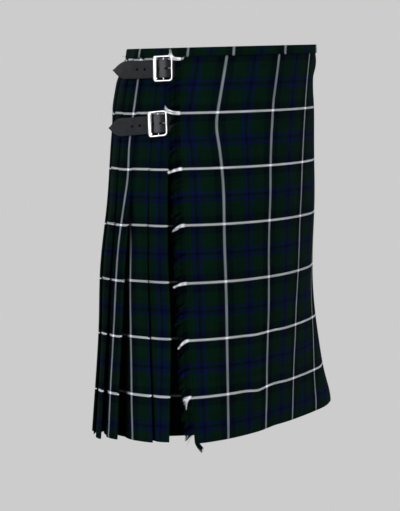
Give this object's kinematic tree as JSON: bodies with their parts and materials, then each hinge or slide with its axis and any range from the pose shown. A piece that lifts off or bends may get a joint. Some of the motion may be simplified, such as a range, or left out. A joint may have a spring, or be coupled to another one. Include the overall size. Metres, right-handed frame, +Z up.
{
  "type": "scottish kilt",
  "caption": "Wrapped wool skirt in worn form, with a flat fringed over apron, an under apron, knife pleats round the back and leather straps with buckles at the hips.",
  "frame": {"origin": "centre of the waist ring, level with the top edge of the waistband, where the wearer's waist holds the kilt", "axes": "+Z up the wearer's body, +X to the wearer's left, -Y to the wearer's front; the hem is at z = -0.61"},
  "size_m": [0.5167, 0.3284, 0.618],
  "materials": {
    "tartan_apron": "matt wool twill, green, blue and black check with a white line",
    "tartan_pleats": "matt wool twill, pressed pleats",
    "tartan_band": "matt wool twill binding",
    "fringe_yarn": "loose wool yarn ends",
    "strap_leather": "black, soft sheen",
    "buckle_metal": "polished nickel"
  },
  "bodies": {
    "root": {"over_apron": "tartan_apron", "under_apron": "tartan_apron", "pleated_back": "tartan_pleats", "waistband_over": "tartan_band", "waistband_back": "tartan_band", "fringe": "fringe_yarn", "strap_upper": "strap_leather", "strap_lower": "strap_leather", "strap_left": "strap_leather", "buckle_upper": "buckle_metal", "buckle_lower": "buckle_metal", "buckle_left": "buckle_metal", "prong_upper": "buckle_metal", "prong_lower": "buckle_metal", "prong_left": "buckle_metal", "buckle_tab_upper": "strap_leather", "buckle_tab_lower": "strap_leather", "buckle_tab_left": "strap_leather"}
  },
  "joints": []
}
